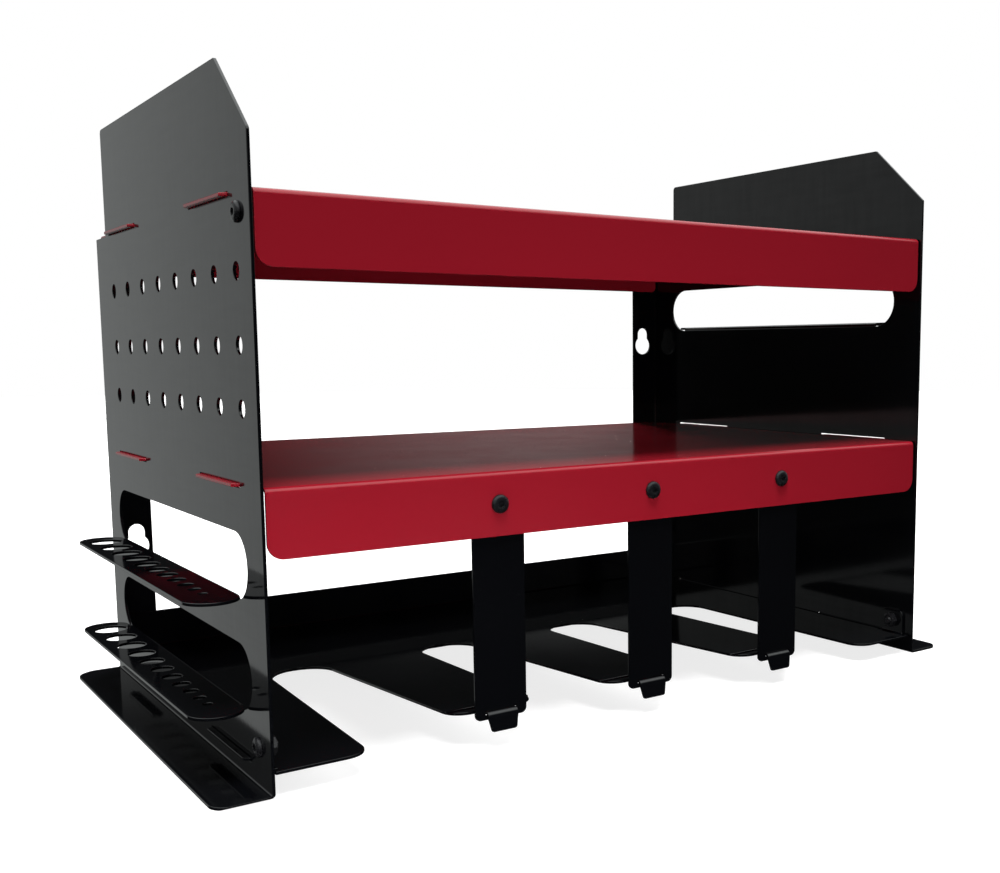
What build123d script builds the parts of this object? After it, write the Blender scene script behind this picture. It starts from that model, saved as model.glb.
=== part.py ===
from build123d import *
import math
import os

# Tool rack of folded steel sheet. Millimetres, X to the right, Y to the back, Z up.
# The origin is on the floor under the middle of the rack's outer box.
# Depths are measured back from the side panels' front edges, heights up from the floor.

# Sheet steel and the gaps between its pieces
sheet = 1.5
bend_inner = 1.0
tab_gap = 0.4
edge_gap = 0.3
side_gap = 1.0

# Side panels
width = 413.0
depth = 267.0
height = 315.0
shoulder_height = 281.0
peak_depth = 38.0
upper_depth = 243.0
outline_round = 2.5
foot_reach = 25.0
foot_front_round = 8.0
foot_rear_round = 12.0
flange_reach = 23.0
flange_bottom = 8.0

# Keyholes in the rear flanges, placed by their big holes
keyhole_inset = 14.0
keyhole_heights = (74.0, 195.0)
keyhole_diameter = 14.0
keyhole_slot = 9.5
keyhole_rise = 8.6

# Peg holes in the left panel
peg_diameter = 8.0
peg_pitch = 30.0
peg_columns = 8
peg_first_depth = 19.3
peg_heights = (167.0, 194.0, 225.0)

# Windows in the side panels and the racks that are folded out of them
window_length = 223.0
window_open = 28.0
window_depth = 132.5
left_rack_heights = (34.0, 84.5)
right_rack_drop = 49.7
rack_reach = 25.0
rack_end_gap = 0.5

# Graded holes in the two left racks, smallest at the front
rack_holes = 11
rack_hole_first_depth = 45.0
rack_hole_smallest = 4.5
rack_hole_growth = 1.3
rack_hole_web = 7.0

# Shelves, by the heights of their top faces and the drops of their lips from there
top_shelf_height = 258.0
top_lip_drop = 32.0
middle_shelf_height = 134.5
middle_lip_drop = 31.0
rear_lip_drop = 21.5
lip_setback = 1.5
lip_round = 7.5
rear_lip_round = 4.0

# Tabs that pass through the side panels
tab_length = 56.0
tab_depths = (54.5, 207.0)
tab_proud = 3.0
tab_chamfer = 2.5

# Ears that are screwed to the side panels
ear_width = 17.0
ear_relief = 1.5
ear_round = 4.0
ear_edge = 7.0
ear_depth = 15.0
top_ear_drop = 9.0
tray_ear_rise = 8.0

# Drill tray
tray_height = 11.5
tray_wall_height = 33.0
outer_finger_setback = 2.0
inner_finger_setback = 8.5
finger_round = 11.0
finger_tilt = 2.5
finger_bend = 12.0
slot_pitch = 91.5
slot_apex_depth = 160.0
slot_round = 17.0
slot_flare = 2.3

# Tongues that hook the inner fingers into the straps
tongue_width = 16.5
tongue_tip_width = 13.0
tongue_tip_round = 1.5
tongue_length = 9.3
tongue_lean = 10.0
tongue_root = 6.0

# Hanger straps
strap_width = 28.5
strap_bottom = 14.2
strap_round = 3.0
strap_screw_drop = 15.5

# Button-head screws and nuts
screw_diameter = 5.0
screw_length = 8.0
screw_hole = 5.5
head_diameter = 9.5
head_height = 2.75
head_rim = 0.6
head_flat = 4.6
socket_flats = 3.0
socket_depth = 1.6
nut_flats = 8.0
nut_height = 4.0
nut_bore = 5.2

# Places that follow from the sizes above
bend_mid = bend_inner + sheet / 2
bend_outer = bend_inner + sheet
front_y = -(depth - head_height + lip_setback) / 2
rear_y = front_y + depth
outer_x = width / 2
inner_x = outer_x - sheet
web_x = outer_x - sheet / 2
plate_end_x = inner_x - side_gap
ear_x = inner_x - sheet / 2
ear_y = front_y + ear_depth
lip_y = front_y + lip_setback + sheet / 2
wall_y = rear_y - sheet - sheet / 2
strap_y = lip_y + sheet
tab_ys = tuple(front_y + place for place in tab_depths)
step_height = top_shelf_height - sheet - tab_gap
upper_rear_y = front_y + upper_depth
tab_end_x = outer_x + tab_proud
right_rack_height = top_shelf_height - right_rack_drop
top_screw_height = top_shelf_height - top_ear_drop
strap_screw_height = middle_shelf_height - strap_screw_drop
tray_screw_height = tray_height + tray_ear_rise
window_y = front_y + window_depth
window_height = window_open + bend_outer
rack_x = outer_x + rack_reach / 2
tray_z = tray_height - sheet / 2
finger_root_y = front_y + slot_apex_depth
strap_xs = (-slot_pitch, 0.0, slot_pitch)
slot_xs = (-1.5 * slot_pitch, -0.5 * slot_pitch, 0.5 * slot_pitch, 1.5 * slot_pitch)
sides = {"left": -1, "right": 1}


def facing_front(y):
    """Plane at depth y, drawn with X to the right and Z up."""
    return Plane.XZ.offset(-y)


def facing_side(x):
    """Plane at distance x from the middle, drawn with Y to the right and Z up."""
    return Plane.YZ.offset(x)


def finger_z(y):
    """Height of the middle face of a tilted finger at depth y."""
    return tray_z + (finger_root_y - y) * math.tan(math.radians(finger_tilt))


def bent_section(plane, *corners, radius=bend_mid):
    """Section of a bent sheet, drawn about the middle line through the corners."""
    with BuildSketch(plane) as section:
        with BuildLine():
            FilletPolyline(*corners, radius=radius)
        trace(line_width=sheet)
    return section.sketch


def fold_foot(side):
    """Upright web with the foot folded outward at its lower edge, in its final plan."""
    length = depth - bend_outer
    middle_y = front_y + length / 2
    section = bent_section(
        facing_front(middle_y),
        (side * web_x, height),
        (side * web_x, sheet / 2),
        (side * (outer_x + foot_reach), sheet / 2),
    )
    extrude(section, amount=length / 2, both=True)
    with BuildSketch() as plan:
        with Locations((side * (outer_x + foot_reach / 2), middle_y)):
            Rectangle(foot_reach, length)
        for end, radius in ((0, foot_front_round), (-1, foot_rear_round)):
            outermost = sorted(plan.vertices(), key=lambda vertex: -side * vertex.X)[:2]
            fillet(ShapeList(outermost).sort_by(Axis.Y)[end], radius=radius)
        with Locations((side * web_x, middle_y)):
            Rectangle(sheet, length)
    extrude(plan.sketch, amount=height, mode=Mode.INTERSECT)


def fold_rear_flange(side):
    """Flange folded inward at the web's rear edge, with two keyholes."""
    section = bent_section(
        Plane.XY.offset(flange_bottom),
        (side * web_x, rear_y - flange_reach),
        (side * web_x, rear_y - sheet / 2),
        (side * (outer_x - flange_reach), rear_y - sheet / 2),
    )
    extrude(section, amount=step_height - flange_bottom)
    with BuildSketch(facing_front(rear_y)) as keyholes:
        for level in keyhole_heights:
            with Locations((side * (outer_x - keyhole_inset), level)):
                Circle(keyhole_diameter / 2)
            with Locations((side * (outer_x - keyhole_inset), level + keyhole_rise / 2)):
                Rectangle(keyhole_slot, keyhole_rise)
            with Locations((side * (outer_x - keyhole_inset), level + keyhole_rise)):
                Circle(keyhole_slot / 2)
    extrude(keyholes.sketch, amount=bend_outer, mode=Mode.SUBTRACT)


def trim_to_outline(side):
    """Side view of the panel: sloped shoulder in front, step behind the top shelf."""
    with BuildSketch(facing_side(side * outer_x)) as outline:
        with BuildLine():
            Polyline(
                (front_y, 0),
                (front_y, shoulder_height),
                (front_y + peak_depth, height),
                (upper_rear_y, height),
                (upper_rear_y, step_height),
                (rear_y, step_height),
                (rear_y, 0),
                close=True,
            )
        make_face()
        upper_corners = outline.vertices().sort_by(Axis.Z)[-3:]
        fillet(upper_corners, radius=outline_round)
    extrude(outline.sketch, amount=foot_reach + sheet, both=True, mode=Mode.INTERSECT)


def cut_through_web(side, sketch):
    """Cut of a sketch on the web's outer face through the web."""
    extrude(sketch, amount=-side * sheet, mode=Mode.SUBTRACT)


def cut_tab_slots(side):
    """Slots for the tabs of both shelves and the tray."""
    slot_height = sheet + 2 * tab_gap
    slot_length = tab_length + 2 * tab_gap
    with BuildSketch(facing_side(side * outer_x)) as slots:
        for level in (top_shelf_height, middle_shelf_height, tray_height):
            with Locations(*[(y, level - sheet / 2) for y in tab_ys]):
                Rectangle(slot_length, slot_height)
    cut_through_web(side, slots.sketch)


def screw_holes(plane, *places):
    """Clearance holes for the screws, drawn on this plane."""
    with BuildSketch(plane) as holes:
        with Locations(*places):
            Circle(screw_hole / 2)
    return holes.sketch


def fold_side_panel(side):
    """Everything that both side panels share."""
    fold_foot(side)
    fold_rear_flange(side)
    trim_to_outline(side)
    cut_tab_slots(side)
    places = ((ear_y, top_screw_height), (ear_y, tray_screw_height))
    cut_through_web(side, screw_holes(facing_side(side * outer_x), *places))


def fold_out_rack(side, level):
    """Round-ended window whose sheet is folded outward as a rack, its top face at this level."""
    with BuildSketch(facing_side(side * outer_x)) as window:
        with Locations((window_y, level - bend_outer + window_height / 2)):
            SlotOverall(window_length, window_height)
    cut_through_web(side, window.sketch)

    flat_x = outer_x + bend_inner
    section = bent_section(
        facing_front(window_y),
        (side * web_x, level - bend_outer - sheet),
        (side * web_x, level - sheet / 2),
        (side * (flat_x + sheet), level - sheet / 2),
    )
    extrude(section, amount=(window_length - window_height) / 2, both=True)

    with BuildSketch(Plane.XY.offset(level)) as rack:
        with Locations((side * rack_x, window_y)):
            SlotOverall(window_length - 2 * rack_end_gap, rack_reach, rotation=90)
        with Locations((side * (flat_x - rack_reach / 2), window_y)):
            Rectangle(rack_reach, window_length, mode=Mode.SUBTRACT)
    extrude(rack.sketch, amount=-sheet)


def graded_holes():
    """Depth and diameter of each rack hole, from the front to the back."""
    holes = []
    y = front_y + rack_hole_first_depth
    for step in range(rack_holes):
        diameter = rack_hole_smallest + step * rack_hole_growth
        holes.append((y, diameter))
        y += diameter + rack_hole_growth / 2 + rack_hole_web
    return holes


def cut_graded_holes(side, level):
    """Row of graded tool holes in the rack at this level."""
    with BuildSketch(Plane.XY.offset(level)) as holes:
        for y, diameter in graded_holes():
            with Locations((side * rack_x, y)):
                Circle(diameter / 2)
    extrude(holes.sketch, amount=-sheet, mode=Mode.SUBTRACT)


def cut_peg_holes(side):
    """Rows of equal holes for pegs and hooks."""
    places = []
    for level in peg_heights:
        for column in range(peg_columns):
            places.append((front_y + peg_first_depth + column * peg_pitch, level))
    with BuildSketch(facing_side(side * outer_x)) as pegs:
        with Locations(*places):
            Circle(peg_diameter / 2)
    cut_through_web(side, pegs.sketch)


def add_tabs(level):
    """Two tabs at each end of the plate at this level, standing proud of the side panels."""
    with BuildSketch(Plane.XY.offset(level)) as tabs:
        with Locations(*[(x, y) for x in (-plate_end_x, plate_end_x) for y in tab_ys]):
            Rectangle(2 * (tab_end_x - plate_end_x), tab_length)
        chamfer(tabs.vertices(), length=tab_chamfer)
    extrude(tabs.sketch, amount=-sheet)


def fold_shelf(level, lip_drop):
    """Plate with a deep front lip, a shallow rear lip and end tabs."""
    section = bent_section(
        facing_side(0),
        (lip_y, level - lip_drop),
        (lip_y, level - sheet / 2),
        (wall_y, level - sheet / 2),
        (wall_y, level - rear_lip_drop),
    )
    shelf = extrude(section, amount=plate_end_x, both=True)
    corners = shelf.edges().filter_by(Axis.Y)
    front_corners = corners.filter_by(lambda edge: edge.center().Y < 0).sort_by(Axis.Z)[:2]
    rear_corners = corners.filter_by(lambda edge: edge.center().Y > wall_y - sheet).sort_by(Axis.Z)[:2]
    fillet(front_corners, radius=lip_round)
    fillet(rear_corners, radius=rear_lip_round)
    add_tabs(level)


def fold_ears(builder, level, tip_height):
    """Screwed ears folded from the plate at this level, flat against the side panels."""
    with BuildSketch(Plane.XY.offset(level)) as notches:
        with Locations((-plate_end_x, ear_y), (plate_end_x, ear_y)):
            Rectangle(2 * bend_outer, ear_width + 2 * ear_relief)
    extrude(notches.sketch, amount=-sheet, mode=Mode.SUBTRACT)
    for side in sides.values():
        section = bent_section(
            facing_front(ear_y),
            (side * (plate_end_x - 2 * bend_outer), level - sheet / 2),
            (side * ear_x, level - sheet / 2),
            (side * ear_x, tip_height),
        )
        extrude(section, amount=ear_width / 2, both=True)
    tips = builder.edges().filter_by(Axis.X).filter_by(
        lambda edge: math.isclose(edge.center().Z, tip_height, abs_tol=edge_gap)
    )
    fillet(tips, radius=ear_round)


def slot_shape():
    """Drill slot about X = 0: sides flared to the front, tangent to a round rear end."""
    flare = math.radians(slot_flare)
    tangent_x = slot_round * math.cos(flare)
    tangent_y = finger_root_y - slot_round + slot_round * math.sin(flare)
    mouth_x = tangent_x + (tangent_y - front_y) * math.tan(flare)
    with BuildSketch() as slot:
        with BuildLine():
            Polyline((-tangent_x, tangent_y), (-mouth_x, front_y), (mouth_x, front_y), (tangent_x, tangent_y))
            ThreePointArc((tangent_x, tangent_y), (0, finger_root_y), (-tangent_x, tangent_y))
        make_face()
    return slot.sketch


def tray_plan():
    """Plan of the tray: five fingers with rounded front corners between four slots."""
    outer_y = front_y + outer_finger_setback
    inner_y = front_y + inner_finger_setback
    with BuildSketch() as plan:
        with Locations((0, (outer_y + rear_y) / 2)):
            Rectangle(2 * plate_end_x, rear_y - outer_y)
        with Locations((0, (outer_y + inner_y) / 2)):
            Rectangle(slot_xs[-1] - slot_xs[0], inner_y - outer_y, mode=Mode.SUBTRACT)
        with Locations(*[(x, 0) for x in slot_xs]):
            add(slot_shape(), mode=Mode.SUBTRACT)
        corners = plan.vertices().filter_by(lambda vertex: vertex.Y < inner_y + edge_gap)
        corners = corners.filter_by(lambda vertex: abs(vertex.X) < plate_end_x - edge_gap)
        fillet(corners, radius=finger_round)
    return plan.sketch


def button_screw(seat):
    """Button-head socket screw whose head sits on the seat plane and points along its normal."""
    side_view = Plane(seat.origin, x_dir=seat.x_dir, z_dir=-seat.y_dir)
    with BuildSketch(side_view) as half_section:
        with BuildLine():
            Polyline(
                (0, head_height),
                (0, -screw_length),
                (screw_diameter / 2, -screw_length),
                (screw_diameter / 2, 0),
                (head_diameter / 2, 0),
                (head_diameter / 2, head_rim),
                (head_flat / 2, head_height),
                close=True,
            )
        make_face()
    revolve(half_section.sketch, axis=Axis(seat.origin, seat.z_dir))
    with BuildSketch(seat.offset(head_height)) as socket:
        RegularPolygon(socket_flats / 2, 6, major_radius=False)
    extrude(socket.sketch, amount=-socket_depth, mode=Mode.SUBTRACT)


def hexagon_nut(seat):
    """Hexagon nut that sits on the seat plane and rises along its normal."""
    with BuildSketch(seat) as hexagon:
        RegularPolygon(nut_flats / 2, 6, major_radius=False)
        Circle(nut_bore / 2, mode=Mode.SUBTRACT)
    extrude(hexagon.sketch, amount=nut_height)


def write(piece, name):
    """Label a finished piece and write its file."""
    piece.part.label = name
    export_step(piece.part, f"parts/{name}.step")


os.makedirs("parts", exist_ok=True)

# Left side panel: peg holes above, two racks with graded holes below
with BuildPart() as side_panel_left:
    fold_side_panel(sides["left"])
    for rack_height in left_rack_heights:
        fold_out_rack(sides["left"], rack_height)
        cut_graded_holes(sides["left"], rack_height)
    cut_peg_holes(sides["left"])
write(side_panel_left, "side_panel_left")

# Right side panel: one plain rack
with BuildPart() as side_panel_right:
    fold_side_panel(sides["right"])
    fold_out_rack(sides["right"], right_rack_height)
write(side_panel_right, "side_panel_right")

# Top shelf, screwed to the panels through two ears
with BuildPart() as top_shelf:
    fold_shelf(top_shelf_height, top_lip_drop)
    fold_ears(top_shelf, top_shelf_height, top_screw_height - ear_edge)
    ear_holes = screw_holes(facing_side(-outer_x), (ear_y, top_screw_height))
    extrude(ear_holes, amount=width, mode=Mode.SUBTRACT)
write(top_shelf, "top_shelf")

# Middle shelf, whose front lip carries the straps
with BuildPart() as middle_shelf:
    fold_shelf(middle_shelf_height, middle_lip_drop)
    lip_holes = screw_holes(facing_front(front_y), *[(x, strap_screw_height) for x in strap_xs])
    extrude(lip_holes, amount=-ear_depth, mode=Mode.SUBTRACT)
write(middle_shelf, "middle_shelf")

# Tongue of one inner finger, in the middle of the tray
tongue_y = strap_y - sheet / 2 - edge_gap - sheet / 2
tongue_z = finger_z(tongue_y)
tongue_start_y = front_y + inner_finger_setback + tongue_root
tip_y = tongue_y - tongue_length * math.sin(math.radians(tongue_lean))
tip_z = tongue_z - tongue_length * math.cos(math.radians(tongue_lean))
with BuildPart() as tongue:
    tongue_section = bent_section(
        facing_side(0),
        (tongue_start_y, finger_z(tongue_start_y)),
        (tongue_y, tongue_z),
        (tip_y, tip_z),
    )
    extrude(tongue_section, amount=tongue_width / 2, both=True)
    with BuildSketch(facing_front(tongue_y)) as front_view:
        with BuildLine():
            Polyline(
                (-tongue_width / 2, tongue_z + bend_outer),
                (-tongue_width / 2, tongue_z - bend_outer),
                (-tongue_tip_width / 2, tip_z - sheet),
                (tongue_tip_width / 2, tip_z - sheet),
                (tongue_width / 2, tongue_z - bend_outer),
                (tongue_width / 2, tongue_z + bend_outer),
                close=True,
            )
        make_face()
    extrude(front_view.sketch, amount=slot_apex_depth, both=True, mode=Mode.INTERSECT)
    tip_edges = tongue.faces().sort_by(Axis.Z)[0].edges().sort_by(Axis.X)
    fillet([tip_edges[0], tip_edges[-1]], radius=tongue_tip_round)

# Drill tray: flat outer fingers, tilted inner fingers with tongues, rear wall, ears and tabs
with BuildPart() as drill_tray:
    tray_section = bent_section(
        facing_side(0),
        (wall_y, tray_wall_height),
        (wall_y, tray_z),
        (front_y, tray_z),
    )
    extrude(tray_section, amount=plate_end_x, both=True)
    inner_width = slot_xs[-1] - slot_xs[0]
    with BuildSketch(Plane.XY.offset(tray_height)) as inner_part:
        with Locations((0, (front_y + finger_root_y) / 2)):
            Rectangle(inner_width, slot_apex_depth)
    extrude(inner_part.sketch, amount=-sheet, mode=Mode.SUBTRACT)
    tilted_section = bent_section(
        facing_side(0),
        (finger_root_y + finger_bend, tray_z),
        (finger_root_y, tray_z),
        (front_y, finger_z(front_y)),
        radius=finger_bend,
    )
    extrude(tilted_section, amount=inner_width / 2, both=True)
    extrude(tray_plan(), amount=tray_wall_height, mode=Mode.INTERSECT)
    wall_corners = drill_tray.edges().filter_by(Axis.Y).sort_by(Axis.Z)[-2:]
    fillet(wall_corners, radius=rear_lip_round)
    with Locations(*[(x, 0, 0) for x in strap_xs]):
        add(tongue.part)
    add_tabs(tray_height)
    fold_ears(drill_tray, tray_height, tray_screw_height + ear_edge)
    ear_holes = screw_holes(facing_side(-outer_x), (ear_y, tray_screw_height))
    extrude(ear_holes, amount=width, mode=Mode.SUBTRACT)
write(drill_tray, "drill_tray")

# Straps, hung behind the middle shelf's lip, each with its screw and nut
strap_top = middle_shelf_height - sheet - bend_inner - edge_gap
for name, strap_x in zip(("left", "center", "right"), strap_xs):
    with BuildPart() as strap:
        with BuildSketch(facing_front(strap_y)) as strap_outline:
            with Locations((strap_x, (strap_top + strap_bottom) / 2)):
                Rectangle(strap_width, strap_top - strap_bottom)
            fillet(strap_outline.vertices().group_by(Axis.Z)[0], radius=strap_round)
            with Locations((strap_x, strap_screw_height)):
                Circle(screw_hole / 2, mode=Mode.SUBTRACT)
            with Locations((strap_x, finger_z(strap_y))):
                Rectangle(tongue_width + 2 * tab_gap, sheet + 2 * tab_gap, mode=Mode.SUBTRACT)
        extrude(strap_outline.sketch, amount=sheet / 2, both=True)
    write(strap, f"strap_{name}")

    with BuildPart() as strap_screw:
        button_screw(Plane((strap_x, lip_y - sheet / 2, strap_screw_height), z_dir=(0, -1, 0)))
    write(strap_screw, f"strap_screw_{name}")

    with BuildPart() as strap_nut:
        hexagon_nut(Plane((strap_x, strap_y + sheet / 2, strap_screw_height), z_dir=(0, 1, 0)))
    write(strap_nut, f"strap_nut_{name}")

# Screws and nuts that hold the top shelf and the tray to the side panels
for fastener, level in (("shelf", top_screw_height), ("tray", tray_screw_height)):
    for name, side in sides.items():
        with BuildPart() as side_screw:
            button_screw(Plane((side * outer_x, ear_y, level), z_dir=(side, 0, 0)))
        write(side_screw, f"{fastener}_screw_{name}")

        with BuildPart() as side_nut:
            hexagon_nut(Plane((side * (inner_x - sheet), ear_y, level), z_dir=(-side, 0, 0)))
        write(side_nut, f"{fastener}_nut_{name}")
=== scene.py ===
import math

import bmesh
import bpy
from mathutils import Matrix, Vector


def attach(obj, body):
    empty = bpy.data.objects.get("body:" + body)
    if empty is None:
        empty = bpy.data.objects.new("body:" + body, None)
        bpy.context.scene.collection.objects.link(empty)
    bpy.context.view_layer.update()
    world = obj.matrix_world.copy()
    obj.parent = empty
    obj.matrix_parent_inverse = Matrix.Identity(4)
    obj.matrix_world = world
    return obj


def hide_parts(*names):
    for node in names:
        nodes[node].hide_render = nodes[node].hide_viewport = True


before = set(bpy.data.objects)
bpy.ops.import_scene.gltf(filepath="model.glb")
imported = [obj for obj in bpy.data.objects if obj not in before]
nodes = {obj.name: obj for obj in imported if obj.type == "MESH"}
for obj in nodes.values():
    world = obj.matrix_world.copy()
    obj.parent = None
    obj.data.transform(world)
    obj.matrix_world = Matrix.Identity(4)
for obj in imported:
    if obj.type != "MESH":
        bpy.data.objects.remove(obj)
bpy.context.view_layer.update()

MM = 0.001
TURN = 2 * math.pi

# Camera at the photograph's place, with the small shift of its cropped frame
CAMERA_PLACE = Vector((-0.37173, -0.61691, 0.19163))
CAMERA_AZIMUTH = math.radians(36.331)
CAMERA_DROP = math.radians(6.771)
CAMERA_ROLL = math.radians(-0.178)
CAMERA_LENS = 42.545
CAMERA_SHIFT = (-0.130, 0.0535)
SENSOR_WIDTH = 36
CLIP_NEAR, CLIP_FAR = 0.01, 50

# Colours, each as a dark and a light shade that blend in clouds
BLACK = ((0.0009, 0.0010, 0.0014), (0.0014, 0.0015, 0.0019))
RED = ((0.172, 0.0050, 0.0110), (0.188, 0.0058, 0.0122))
OXIDE = ((0.004, 0.004, 0.005), (0.010, 0.010, 0.011))
FLOOR_GREY = ((0.29, 0.29, 0.29), (0.31, 0.31, 0.31))
WHITE = (1, 1, 1)

# Range that most of a noise lies in
NOISE_LOW, NOISE_HIGH = 0.3, 0.7

# Powder coat: noise scales per metre, orange peel, and fine streaks in the gloss
COAT_CLOUDS, COAT_PATCHES, COAT_PEEL, COAT_STREAKS = 9, 22, 520, 300
PEEL_STRENGTH, PEEL_HEIGHT = 0.05, 0.12 * MM
STREAK_STRETCH = 0.12
STREAK_DULL, STREAK_BRIGHT = 0.6, 1.4
COAT_SMOOTHEST, COAT_ROUGHEST = 0.82, 1.18

# Black oxide: noise scales per metre, and the grain left by turning
OXIDE_CLOUDS, OXIDE_PATCHES, OXIDE_GRAIN = 160, 420, 2600
GRAIN_STRENGTH, GRAIN_HEIGHT = 0.15, 0.04 * MM
OXIDE_SMOOTHEST, OXIDE_ROUGHEST = 0.75, 1.3

# Sheet metal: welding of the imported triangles, and the rounding of cut edges
WELD, FINE_WELD = 0.002 * MM, 0.001 * MM
FLAT = math.radians(0.4)
CUT_EDGE = math.radians(32)
EDGE_ROUND = 0.28 * MM
SHEET_CREASE = math.radians(40)

# Upper edges of the tab slots beside the middle shelf
MIDDLE_SLOT_TOP = 134.9 * MM
SLOT_LIFT = 0.35 * MM
LEVEL_SLACK = 0.02 * MM

# M5 button screw; the plain head of the CAD is higher than the detailed one
CAD_HEAD_HEIGHT = 2.75 * MM
HEAD_RADIUS, HEAD_HEIGHT = 4.6 * MM, 2.1 * MM
HEAD_RIM, HEAD_FLAT = 0.5 * MM, 2.3 * MM
UNDER_CHAMFER = 0.15 * MM
SOCKET_FLATS, SOCKET_DEPTH, SOCKET_POINT = 3.0 * MM, 1.35 * MM, 1.5 * MM
SOCKET_MOUTH, SOCKET_CHAMFER = 1.85 * MM, 0.12 * MM
SCREW_RADIUS, SCREW_LENGTH, TIP_RADIUS = 2.5 * MM, 8.0 * MM, 2.0 * MM
PITCH, SCREW_GROOVE = 0.8 * MM, 0.4 * MM
THREAD_GAP, THREAD_FADE, TIP_SHARE = 0.5 * MM, 1.2 * MM, 0.93
DOME_RINGS, SCREW_RINGS = 8, 60

# M5 nut
NUT_FLATS, NUT_HEIGHT = 8.0 * MM, 4.0 * MM
NUT_FACE, NUT_SLOPE = 3.8 * MM, math.tan(math.radians(30))
NUT_BORE, NUT_MOUTH, NUT_GROOVE = 2.6 * MM, 0.3 * MM, 0.35 * MM
NUT_RINGS = 24

# Turned pieces
STEPS = 48
TURNED_WELD = 0.0001 * MM
TURNED_CREASE = math.radians(30)

# Backdrop
FLOOR_HALF, FLOOR_ROUGH, FLOOR_GLOW = 5.0, 0.7, 0.8
FLOOR_CLOUDS = 3
DOME_RADIUS, DOME_GLOW = 4.9, 1.0

# Studio that the gloss of the paint mirrors: a glow all round, a ceiling and light areas
LEFT, RIGHT, AHEAD, UP = (-1, 0, 0), (1, 0, 0), (0, 1, 0), (0, 0, 1)
WALL_AZIMUTH = math.radians(-17)
TOWARD_WALL = (math.sin(WALL_AZIMUTH), math.cos(WALL_AZIMUTH), -0.05)
STUDIO_COLOR = (0.96, 1.0, 0.99, 1)
ROOM_GLOW = 0.010

# Brightness of a light area, and the limits between which it fades in along each direction
CEILING = (1.9, (UP, 0.35, 0.75))
LIGHT_WALL = (0.44, (TOWARD_WALL, 0.93, 0.965), (UP, 0.285, 0.262))
UPPER_LEFT = (0.42, (LEFT, 0.1, 0.5), (UP, 0.03, 0.10))
LOW_BEHIND = (0.155, (AHEAD, 0.72, 0.84), (RIGHT, 0.26, 0.52), (UP, 0.01, 0.05), (UP, 0.19, 0.12))
RIGHT_WALL = (0.8, (RIGHT, 0.78, 0.99), (UP, -0.25, 0.30))

SUN_SOURCE = Vector((-0.10, -0.20, 1.0))
SUN_STRENGTH = 8.5
SUN_SPREAD = math.radians(32)

# Name, place, target, size and power of each area light
AREA_LIGHTS = (
    ("front", (-0.9, -2.0, 0.9), (0, 0, 0.12), (1.6, 1.2), 2),
    ("low", (-0.4, -1.5, 0.06), (0, 0.1, 0.23), (1.6, 0.1), 11),
    ("rear", (0.95, 1.35, 0.50), (0, 0.05, 0.13), (0.8, 0.5), 100),
    ("near", (-0.10, -0.30, 0.015), (-0.02, -0.134, 0.115), (0.5, 0.03), 0.65),
    ("side", (-2.2, 0.3, 0.45), (-0.2, 0, 0.15), (0.8, 0.8), 12),
)
MIRRORED_LIGHT = "front"


def link(name, data):
    """New object in the scene."""
    made = bpy.data.objects.new(name, data)
    bpy.context.scene.collection.objects.link(made)
    return made


def make_camera():
    data = bpy.data.cameras.new("photo_camera")
    data.sensor_width = SENSOR_WIDTH
    data.lens = CAMERA_LENS
    data.shift_x, data.shift_y = CAMERA_SHIFT
    data.clip_start, data.clip_end = CLIP_NEAR, CLIP_FAR
    camera = link("photo_camera", data)
    forward = Vector((
        math.sin(CAMERA_AZIMUTH) * math.cos(CAMERA_DROP),
        math.cos(CAMERA_AZIMUTH) * math.cos(CAMERA_DROP),
        -math.sin(CAMERA_DROP),
    ))
    level = Vector((math.cos(CAMERA_AZIMUTH), -math.sin(CAMERA_AZIMUTH), 0))
    upright = level.cross(forward)
    right = level * math.cos(CAMERA_ROLL) + upright * math.sin(CAMERA_ROLL)
    up = right.cross(forward)
    turn = Matrix((right, up, -forward)).transposed().to_4x4()
    camera.matrix_world = Matrix.Translation(CAMERA_PLACE) @ turn
    bpy.context.scene.camera = camera


class Shading:
    """Short way to add and join the shader nodes of a material or a world."""

    def __init__(self, owner):
        owner.use_nodes = True
        self.owner = owner
        self.tree = owner.node_tree

    def add(self, kind, values=None, **settings):
        """New node with its settings and the values of its inputs."""
        node = self.tree.nodes.new(kind)
        for key, value in settings.items():
            setattr(node, key, value)
        for key, value in (values or {}).items():
            node.inputs[key].default_value = value
        return node

    def join(self, output, target):
        self.tree.links.new(output, target)

    def combine(self, operation, first, second):
        """Result of a math node on two outputs, or on an output and a number."""
        node = self.add("ShaderNodeMath", operation=operation)
        self.join(first, node.inputs[0])
        if isinstance(second, float):
            node.inputs[1].default_value = second
        else:
            self.join(second, node.inputs[1])
        return node.outputs["Value"]


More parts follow.
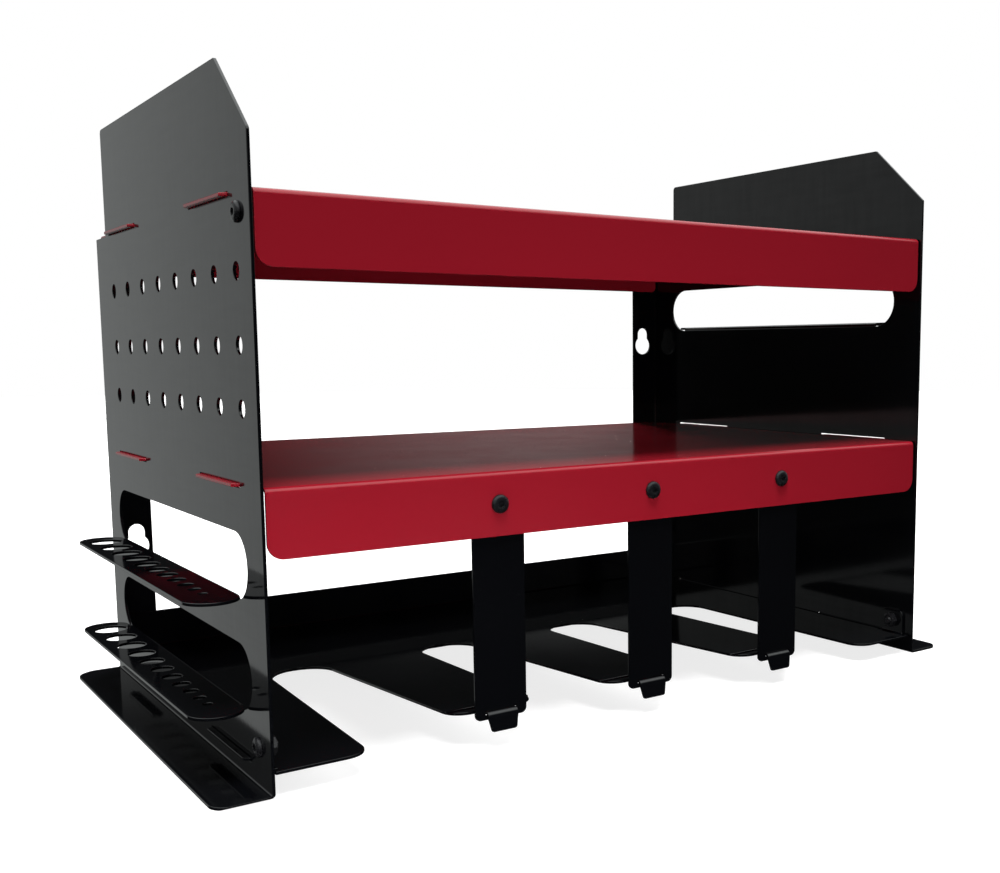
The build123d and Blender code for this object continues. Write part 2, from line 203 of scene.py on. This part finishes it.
class Surface(Shading):
    """Material of the Principled shader, with patterns laid out in the object's own metres."""

    def __init__(self, name):
        super().__init__(bpy.data.materials.new(name))
        self.shader = self.tree.nodes["Principled BSDF"]
        self.place = self.add("ShaderNodeTexCoord").outputs["Object"]

    def feed(self, name, output):
        """Joins an output to one of the shader's sockets."""
        self.join(output, self.shader.inputs[name])

    def keep(self, name, value):
        """Sets a constant on one of the shader's sockets."""
        self.shader.inputs[name].default_value = value

    def noise(self, scale, detail=2.0, roughness=0.5, stretch=None):
        values = {"Scale": scale, "Detail": detail, "Roughness": roughness}
        node = self.add("ShaderNodeTexNoise", values)
        place = self.place
        if stretch:
            mapping = self.add("ShaderNodeMapping", {"Scale": stretch})
            self.join(place, mapping.inputs["Vector"])
            place = mapping.outputs["Vector"]
        self.join(place, node.inputs["Vector"])
        return node.outputs["Fac"]

    def span(self, factor, low, high, start=NOISE_LOW, end=NOISE_HIGH):
        """Spreads a noise over the values from low to high."""
        values = {"From Min": start, "From Max": end, "To Min": low, "To Max": high}
        node = self.add("ShaderNodeMapRange", values)
        self.join(factor, node.inputs["Value"])
        return node.outputs["Result"]

    def mix(self, factor, first, second):
        """Blend of two colours; sockets 6 and 7 of the mix node take colours."""
        node = self.add("ShaderNodeMix", {6: (*first, 1), 7: (*second, 1)}, data_type="RGBA")
        self.join(factor, node.inputs[0])
        return node.outputs[2]

    def bump(self, height, strength, distance):
        node = self.add("ShaderNodeBump", {"Strength": strength, "Distance": distance})
        self.join(height, node.inputs["Height"])
        return node.outputs["Normal"]


def powder_coat(name, shades, rough, streak=0.0):
    """Gloss powder coat: slight cloudiness, orange peel, and a gloss that wanders a little."""
    made = Surface(name)
    clouds = made.noise(COAT_CLOUDS, detail=3, roughness=0.55)
    made.feed("Base Color", made.mix(clouds, *shades))
    patches = made.noise(COAT_PATCHES, detail=4, roughness=0.6)
    made.feed("Roughness", made.span(patches, rough * COAT_SMOOTHEST, rough * COAT_ROUGHEST))
    peel = made.noise(COAT_PEEL, roughness=0.45)
    made.feed("Normal", made.bump(peel, PEEL_STRENGTH, PEEL_HEIGHT))
    if streak:
        upright = made.noise(COAT_STREAKS, stretch=(1, 1, STREAK_STRETCH))
        across = made.noise(COAT_STREAKS, stretch=(STREAK_STRETCH, STREAK_STRETCH, 1))
        both = made.combine("ADD", upright, across)
        fine = made.span(both, 0.5 - streak, 0.5 + streak, STREAK_DULL, STREAK_BRIGHT)
        made.feed("Specular IOR Level", fine)
    return made.owner


def oxide_steel(name, shades, rough, metallic):
    """Black oxide on turned steel, with a fine grain."""
    made = Surface(name)
    clouds = made.noise(OXIDE_CLOUDS, detail=3, roughness=0.6)
    made.feed("Base Color", made.mix(clouds, *shades))
    patches = made.noise(OXIDE_PATCHES, detail=3, roughness=0.6)
    made.feed("Roughness", made.span(patches, rough * OXIDE_SMOOTHEST, rough * OXIDE_ROUGHEST))
    made.keep("Metallic", metallic)
    grain = made.noise(OXIDE_GRAIN)
    made.feed("Normal", made.bump(grain, GRAIN_STRENGTH, GRAIN_HEIGHT))
    return made.owner


def corners(points):
    """Lowest and highest corner of the points' box."""
    low = Vector([min(point[i] for point in points) for i in range(3)])
    high = Vector([max(point[i] for point in points) for i in range(3)])
    return low, high


def stand_in(mesh, piece, node, material, crease):
    """Piece that rides on the part and stands in for one CAD node."""
    mesh.materials.clear()
    mesh.materials.append(material)
    mesh.shade_smooth()
    mesh.set_sharp_from_angle(angle=crease)
    shown = link(piece, mesh)
    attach(shown, "root")
    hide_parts(node)
    return shown


def raise_slots(work):
    """Raises the upper edges of the middle shelf's slots, so light falls in above the tabs."""
    for vertex in work.verts:
        if abs(vertex.co.z - MIDDLE_SLOT_TOP) < LEVEL_SLACK:
            vertex.co.z += SLOT_LIFT


def dress_sheet(node, piece, material, reshape=None):
    """Copy of a CAD node with its cut edges rounded, kept inside the node's box."""
    mesh = nodes[node].data.copy()
    mesh.name = piece
    low, high = corners([vertex.co for vertex in mesh.vertices])
    work = bmesh.new()
    work.from_mesh(mesh)
    bmesh.ops.remove_doubles(work, verts=work.verts, dist=WELD)
    bmesh.ops.dissolve_limit(
        work, angle_limit=FLAT, verts=work.verts, edges=work.edges, use_dissolve_boundaries=False,
    )
    if reshape:
        reshape(work)
    cut = [
        edge for edge in work.edges
        if len(edge.link_faces) == 2 and edge.calc_face_angle(0) > CUT_EDGE
    ]
    bmesh.ops.bevel(
        work, geom=cut, offset=EDGE_ROUND, offset_type="OFFSET", segments=2, profile=0.5,
        affect="EDGES", clamp_overlap=False, material=-1, loop_slide=True, miter_outer="SHARP",
    )
    bmesh.ops.remove_doubles(work, verts=work.verts, dist=FINE_WELD)
    bmesh.ops.recalc_face_normals(work, faces=work.faces)
    for vertex in work.verts:
        vertex.co = [min(max(value, low[i]), high[i]) for i, value in enumerate(vertex.co)]
    work.to_mesh(mesh)
    work.free()
    shown = stand_in(mesh, piece, node, material, SHEET_CREASE)
    weigh = shown.modifiers.new("face_weighted", "WEIGHTED_NORMAL")
    weigh.keep_sharp = True
    weigh.weight = 100


def lathe(piece, rings, seat, axis, bored):
    """Closed surface through rings of points (x, y, height) about the axis at the seat."""
    turn = Vector((0, 0, 1)).rotation_difference(axis).to_matrix()
    points = [seat + turn @ Vector(point) for circle in rings for point in circle]
    faces = []
    for row in range(len(rings) if bored else len(rings) - 1):
        after = (row + 1) % len(rings)
        for column in range(STEPS):
            beside = (column + 1) % STEPS
            faces.append((
                row * STEPS + column, row * STEPS + beside,
                after * STEPS + beside, after * STEPS + column,
            ))
    mesh = bpy.data.meshes.new(piece)
    mesh.from_pydata(points, [], faces)
    work = bmesh.new()
    work.from_mesh(mesh)
    bmesh.ops.remove_doubles(work, verts=work.verts, dist=TURNED_WELD)
    bmesh.ops.recalc_face_normals(work, faces=work.faces)
    work.to_mesh(mesh)
    work.free()
    return mesh


def ring(radius, height, groove=0.0):
    """Ring of points; with a groove, the radius follows a thread of that depth."""
    made = []
    for step in range(STEPS):
        angle = TURN * step / STEPS
        phase = (height / PITCH - step / STEPS) % 1.0
        reach = radius - groove * abs(2 * phase - 1)
        made.append((reach * math.cos(angle), reach * math.sin(angle), height))
    return made


def hexagon(flats, height, chamfer_radius=0.0, rise=0.0):
    """Hexagonal ring; with a rise, its corners past the radius leave its plane on a cone."""
    made = []
    for step in range(STEPS):
        angle = TURN * step / STEPS
        from_flat = (angle + TURN / 12) % (TURN / 6) - TURN / 12
        reach = flats / 2 / math.cos(from_flat)
        lift = rise * max(reach - chamfer_radius, 0)
        made.append((reach * math.cos(angle), reach * math.sin(angle), height + lift))
    return made


def seat_of(node, outward, depth):
    """Point on a CAD fastener's axis, at a depth below its outward end."""
    plain = nodes[node]
    low, high = corners([plain.matrix_world @ vertex.co for vertex in plain.data.vertices])
    point = (low + high) / 2
    for i, way in enumerate(outward):
        if way:
            point[i] = (high[i] if way > 0 else low[i]) - way * depth
    return point


def button_screw(piece, node, outward):
    """Domed head with a hexagon socket on a threaded shank."""
    rings = [
        ring(0, HEAD_HEIGHT - SOCKET_POINT),
        hexagon(SOCKET_FLATS, HEAD_HEIGHT - SOCKET_DEPTH),
        hexagon(SOCKET_FLATS, HEAD_HEIGHT - SOCKET_CHAMFER),
        ring(SOCKET_MOUTH, HEAD_HEIGHT),
        ring(HEAD_FLAT, HEAD_HEIGHT),
    ]
    for number in range(1, DOME_RINGS + 1):
        angle = TURN / 4 * number / DOME_RINGS
        rings.append(ring(
            HEAD_FLAT + (HEAD_RADIUS - HEAD_FLAT) * math.sin(angle),
            HEAD_RIM + (HEAD_HEIGHT - HEAD_RIM) * math.cos(angle),
        ))
    rings.append(ring(HEAD_RADIUS, UNDER_CHAMFER))
    rings.append(ring(HEAD_RADIUS - UNDER_CHAMFER, 0))
    rings.append(ring(SCREW_RADIUS, 0))
    for number in range(1, SCREW_RINGS):
        depth = THREAD_GAP + (SCREW_LENGTH - 2 * THREAD_GAP) * number / SCREW_RINGS
        fade = min(1.0, (SCREW_LENGTH - depth) / THREAD_FADE)
        radius = SCREW_RADIUS * (TIP_SHARE + (1 - TIP_SHARE) * fade)
        rings.append(ring(radius, -depth, SCREW_GROOVE * fade))
    rings.append(ring(TIP_RADIUS, -SCREW_LENGTH))
    rings.append(ring(0, -SCREW_LENGTH))
    mesh = lathe(piece, rings, seat_of(node, outward, CAD_HEAD_HEIGHT), outward, False)
    stand_in(mesh, piece, node, black_steel, TURNED_CREASE)


def hexagon_nut(piece, node, outward):
    """Hexagon nut with chamfered corners and a threaded bore, seated on its outward face."""
    rings = [
        ring(NUT_BORE + NUT_MOUTH, 0),
        ring(NUT_FACE, 0),
        hexagon(NUT_FLATS, 0, NUT_FACE, NUT_SLOPE),
        hexagon(NUT_FLATS, NUT_HEIGHT, NUT_FACE, -NUT_SLOPE),
        ring(NUT_FACE, NUT_HEIGHT),
        ring(NUT_BORE + NUT_MOUTH, NUT_HEIGHT),
    ]
    for number in range(NUT_RINGS + 1):
        level = NUT_HEIGHT - NUT_MOUTH - (NUT_HEIGHT - 2 * NUT_MOUTH) * number / NUT_RINGS
        rings.append(ring(NUT_BORE + NUT_GROOVE, level, NUT_GROOVE))
    mesh = lathe(piece, rings, seat_of(node, outward, 0), -outward, True)
    stand_in(mesh, piece, node, black_steel, TURNED_CREASE)


def dress_fasteners():
    """Detailed screws and nuts on the seats of the plain ones."""
    front = Vector((0, -1, 0))
    seats = [("lip", "strap", place, front) for place in ("left", "center", "right")]
    for holder in ("shelf", "tray"):
        for place, side in (("left", -1), ("right", 1)):
            seats.append((f"side_{holder}", holder, place, Vector((side, 0, 0))))
    for shown, plain, place, outward in seats:
        button_screw(f"{shown}_screw_{place}", f"{plain}_screw_{place}", outward)
        hexagon_nut(f"{shown}_nut_{place}", f"{plain}_nut_{place}", outward)


def glow_material(name, color, strength):
    """Surface of even brightness."""
    made = Shading(bpy.data.materials.new(name))
    made.tree.nodes.clear()
    glow = made.add("ShaderNodeEmission", {"Color": (*color, 1), "Strength": strength})
    out = made.add("ShaderNodeOutputMaterial")
    made.join(glow.outputs[0], out.inputs["Surface"])
    return made.owner


def make_floor():
    """Pale floor that takes light and shadow, but casts no light or reflection on the rack."""
    half = FLOOR_HALF
    outline = [(-half, -half, 0), (half, -half, 0), (half, half, 0), (-half, half, 0)]
    mesh = bpy.data.meshes.new("floor")
    mesh.from_pydata(outline, [], [(0, 1, 2, 3)])
    made = Surface("pale_floor")
    made.feed("Base Color", made.mix(made.noise(FLOOR_CLOUDS), *FLOOR_GREY))
    made.keep("Roughness", FLOOR_ROUGH)
    made.keep("Emission Color", (*WHITE, 1))
    made.keep("Emission Strength", FLOOR_GLOW)
    mesh.materials.append(made.owner)
    floor = link("floor", mesh)
    floor.visible_glossy = False
    floor.visible_diffuse = False
    return floor


def make_dome():
    """White backdrop all round, which only the camera sees."""
    mesh = bpy.data.meshes.new("dome")
    work = bmesh.new()
    bmesh.ops.create_uvsphere(work, u_segments=64, v_segments=32, radius=DOME_RADIUS)
    work.to_mesh(mesh)
    work.free()
    mesh.materials.append(glow_material("pale_dome", WHITE, DOME_GLOW))
    dome = link("dome", mesh)
    dome.visible_glossy = False
    dome.visible_diffuse = False
    dome.visible_shadow = False
    dome.visible_transmission = False
    return dome


def make_world():
    """Dark studio with soft light areas, which only the gloss of the paint mirrors."""
    world = bpy.data.worlds.new("studio")
    bpy.context.scene.world = world
    made = Shading(world)
    world.cycles_visibility.diffuse = False
    place = made.add("ShaderNodeTexCoord").outputs["Generated"]

    def fade(direction, start, end, strength):
        """Grows to the strength as the view's share along the direction goes from start to end."""
        share = made.add("ShaderNodeVectorMath", {1: direction}, operation="DOT_PRODUCT")
        made.join(place, share.inputs[0])
        values = {"From Min": start, "From Max": end, "To Max": strength}
        node = made.add("ShaderNodeMapRange", values, interpolation_type="SMOOTHSTEP")
        made.join(share.outputs["Value"], node.inputs["Value"])
        return node.outputs["Result"]

    def light_area(strength, first, *others):
        """Brightness that is full where the view is past the limits along every direction."""
        area = fade(*first, strength)
        for limits in others:
            area = made.combine("MULTIPLY", area, fade(*limits, 1.0))
        return area

    glow = made.combine("ADD", light_area(*CEILING), ROOM_GLOW)
    for area in (LIGHT_WALL, UPPER_LEFT, LOW_BEHIND, RIGHT_WALL):
        glow = made.combine("MAXIMUM", glow, light_area(*area))
    back = made.tree.nodes["Background"]
    made.join(glow, back.inputs["Strength"])
    back.inputs["Color"].default_value = STUDIO_COLOR


def aim(light, direction):
    """Turns a light so that it shines along the direction."""
    light.rotation_mode = "QUATERNION"
    light.rotation_quaternion = direction.to_track_quat("-Z", "Y")


def sun_light(name):
    data = bpy.data.lights.new(name, "SUN")
    data.energy = SUN_STRENGTH
    data.angle = SUN_SPREAD
    light = link(name, data)
    aim(light, -SUN_SOURCE)
    light.visible_glossy = False


def area_light(name, place, target, size, power):
    data = bpy.data.lights.new(name, "AREA")
    data.shape = "RECTANGLE"
    data.size, data.size_y = size
    data.energy = power
    light = link(name, data)
    light.location = place
    aim(light, Vector(target) - Vector(place))
    light.visible_camera = False
    light.visible_glossy = name == MIRRORED_LIGHT


make_camera()

black = powder_coat("black_powder", BLACK, rough=0.08, streak=0.06)
red = powder_coat("red_powder", RED, rough=0.15)
black_steel = oxide_steel("black_screw_steel", OXIDE, rough=0.24, metallic=0.3)

dress_sheet("side_panel_left", "left_panel", black)
dress_sheet("side_panel_right", "right_panel", black, raise_slots)
dress_sheet("top_shelf", "upper_shelf", red)
dress_sheet("middle_shelf", "lower_shelf", red)
dress_sheet("drill_tray", "tray", black)
for place in ("left", "center", "right"):
    dress_sheet(f"strap_{place}", f"hanger_{place}", black)
dress_fasteners()

make_floor()
make_dome()
make_world()
sun_light("top")
for light in AREA_LIGHTS:
    area_light(*light)
bpy.context.scene.view_settings.view_transform = "Standard"
